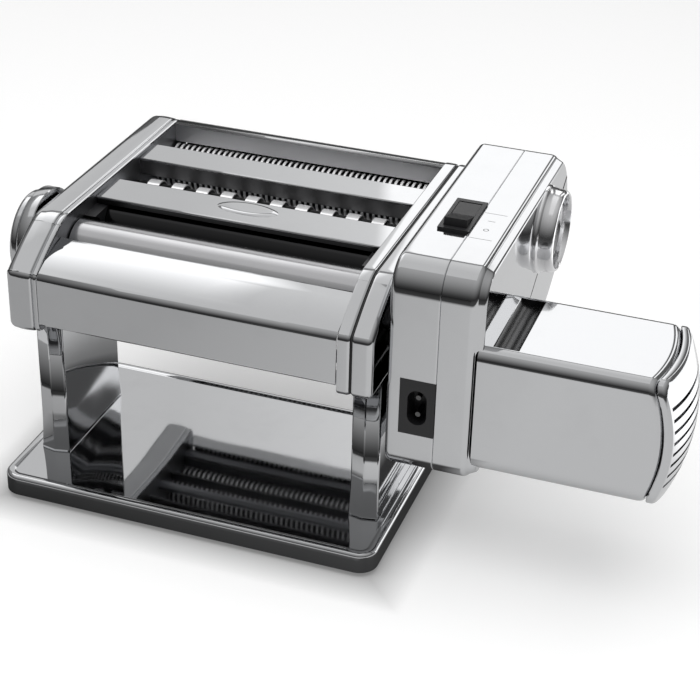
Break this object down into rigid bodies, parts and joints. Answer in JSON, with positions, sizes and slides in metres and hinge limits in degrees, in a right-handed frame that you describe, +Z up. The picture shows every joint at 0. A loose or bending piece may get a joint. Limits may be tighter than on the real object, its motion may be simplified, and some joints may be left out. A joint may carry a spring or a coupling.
{
  "type": "electric pasta maker",
  "caption": "Plated sheet-metal pasta machine on a tray: smooth rollers with a thickness dial, wide and narrow cutters, geared motor unit at the side.",
  "frame": {"origin": "the middle of the base tray's footprint, at the level of the feet's undersides", "axes": "+X along the rollers towards the motor unit, +Y to the back (from the dial side's front to the cutters), +Z up"},
  "size_m": [0.3303, 0.1835, 0.158],
  "materials": {
    "polished_steel": "mirror-bright plated sheet steel",
    "roller_steel": "bright plated, fine turned finish",
    "zinc_steel": "plain zinc-plated steel",
    "bush_bronze": "sintered bronze",
    "dial_metal": "bright turned metal knob",
    "plated_plastic": "chrome-plated moulding, mirror gloss",
    "grey_plastic": "grey moulding",
    "gear_plastic": "natural acetal",
    "black_plastic": "fine-grained black moulding",
    "seal_rubber": "black rubber",
    "pin_brass": "plated brass"
  },
  "bodies": {
    "frame": {"base_tray": "polished_steel", "rubber_feet": "seal_rubber", "left_leg": "polished_steel", "right_leg": "polished_steel", "left_cheek": "polished_steel", "right_cheek": "polished_steel", "cover_seal": "seal_rubber", "gear_cover": "polished_steel", "left_side_plate": "zinc_steel", "right_side_plate": "zinc_steel", "tie_rods": "zinc_steel", "rod_nuts": "zinc_steel", "bearing_bushes": "bush_bronze", "front_panel": "polished_steel", "back_panel": "polished_steel", "front_plate": "polished_steel", "rear_plate": "polished_steel", "side_guides": "grey_plastic", "wide_combs": "zinc_steel", "narrow_combs": "zinc_steel", "mounting_plate": "zinc_steel", "motor_case_inner": "plated_plastic", "motor_case_outer": "plated_plastic", "motor_end_cap": "plated_plastic", "boss_cover": "plated_plastic", "gear_pins": "zinc_steel", "motor_can": "zinc_steel", "motor_bracket": "zinc_steel", "switch_bezel": "black_plastic", "power_inlet": "black_plastic", "inlet_pins": "pin_brass"},
    "carriage": {"roller_carriage": "zinc_steel"},
    "front_roller_set": {"front_roller": "roller_steel", "front_roller_gear": "zinc_steel"},
    "rear_roller_set": {"rear_roller": "roller_steel", "rear_roller_gear": "zinc_steel", "roller_output_gear": "gear_plastic"},
    "wide_front_set": {"wide_front_shaft": "zinc_steel", "wide_front_cutter": "roller_steel", "wide_front_gear": "zinc_steel", "wide_output_gear": "gear_plastic"},
    "wide_rear_set": {"wide_rear_shaft": "zinc_steel", "wide_rear_cutter": "roller_steel", "wide_rear_gear": "zinc_steel"},
    "narrow_front_set": {"narrow_front_shaft": "zinc_steel", "narrow_front_cutter": "roller_steel", "narrow_front_gear": "zinc_steel", "narrow_output_gear": "gear_plastic"},
    "narrow_rear_set": {"narrow_rear_shaft": "zinc_steel", "narrow_rear_cutter": "roller_steel", "narrow_rear_gear": "zinc_steel"},
    "idler": {"idler_gear": "gear_plastic"},
    "reduction": {"reduction_gear": "gear_plastic"},
    "rotor": {"armature": "zinc_steel", "motor_pinion": "zinc_steel", "cooling_fan": "black_plastic"},
    "dial": {"thickness_dial": "dial_metal", "dial_spindle": "zinc_steel"},
    "rocker": {"switch_rocker": "black_plastic"}
  },
  "joints": [
    {"name": "rear_roller_spin", "type": "hinge", "parent": "frame", "child": "rear_roller_set", "pos_m": [0, 0.0237, 0.1155], "axis": [1, 0, 0], "continuous": true},
    {"name": "carriage_slide", "type": "slide", "parent": "frame", "child": "carriage", "axis": [0, 1, 0], "range_m": [0, 0.0024]},
    {"name": "front_roller_spin", "type": "hinge", "parent": "carriage", "child": "front_roller_set", "pos_m": [0, -0.0049, 0.1155], "axis": [1, 0, 0], "continuous": true},
    {"name": "wide_front_spin", "type": "hinge", "parent": "frame", "child": "wide_front_set", "pos_m": [0, 0.0458, 0.1141], "axis": [1, 0, 0], "continuous": true},
    {"name": "wide_rear_spin", "type": "hinge", "parent": "frame", "child": "wide_rear_set", "pos_m": [0, 0.0612, 0.1141], "axis": [1, 0, 0], "continuous": true},
    {"name": "narrow_front_spin", "type": "hinge", "parent": "frame", "child": "narrow_front_set", "pos_m": [0, 0.0926, 0.1141], "axis": [1, 0, 0], "continuous": true},
    {"name": "narrow_rear_spin", "type": "hinge", "parent": "frame", "child": "narrow_rear_set", "pos_m": [0, 0.108, 0.1141], "axis": [1, 0, 0], "continuous": true},
    {"name": "idler_spin", "type": "hinge", "parent": "frame", "child": "idler", "pos_m": [0, 0.0692, 0.10678], "axis": [1, 0, 0], "continuous": true},
    {"name": "reduction_spin", "type": "hinge", "parent": "frame", "child": "reduction", "pos_m": [0, 0.02398, 0.09731], "axis": [1, 0, 0], "continuous": true},
    {"name": "motor_spin", "type": "hinge", "parent": "frame", "child": "rotor", "pos_m": [0, -0.008, 0.087], "axis": [1, 0, 0], "continuous": true},
    {"name": "dial_turn", "type": "hinge", "parent": "frame", "child": "dial", "pos_m": [-0.098, 0.002, 0.1125], "axis": [1, 0, 0], "range_deg": [0, 300]},
    {"name": "switch_rock", "type": "hinge", "parent": "frame", "child": "rocker", "pos_m": [0.10805, 0.0178, 0.1529], "axis": [1, 0, 0], "range_deg": [0, 16]}
  ],
  "couplings": [
    {"joint": "front_roller_spin", "follows": "rear_roller_spin", "ratio": -1},
    {"joint": "wide_front_spin", "follows": "rear_roller_spin", "ratio": -1},
    {"joint": "wide_rear_spin", "follows": "rear_roller_spin", "ratio": 1},
    {"joint": "narrow_front_spin", "follows": "rear_roller_spin", "ratio": -1},
    {"joint": "narrow_rear_spin", "follows": "rear_roller_spin", "ratio": 1},
    {"joint": "idler_spin", "follows": "rear_roller_spin", "ratio": 0.82353},
    {"joint": "reduction_spin", "follows": "rear_roller_spin", "ratio": -1.5556},
    {"joint": "motor_spin", "follows": "rear_roller_spin", "ratio": 7.7778},
    {"joint": "dial_turn", "follows": "carriage_slide", "rad_per_m": 2181.5}
  ]
}
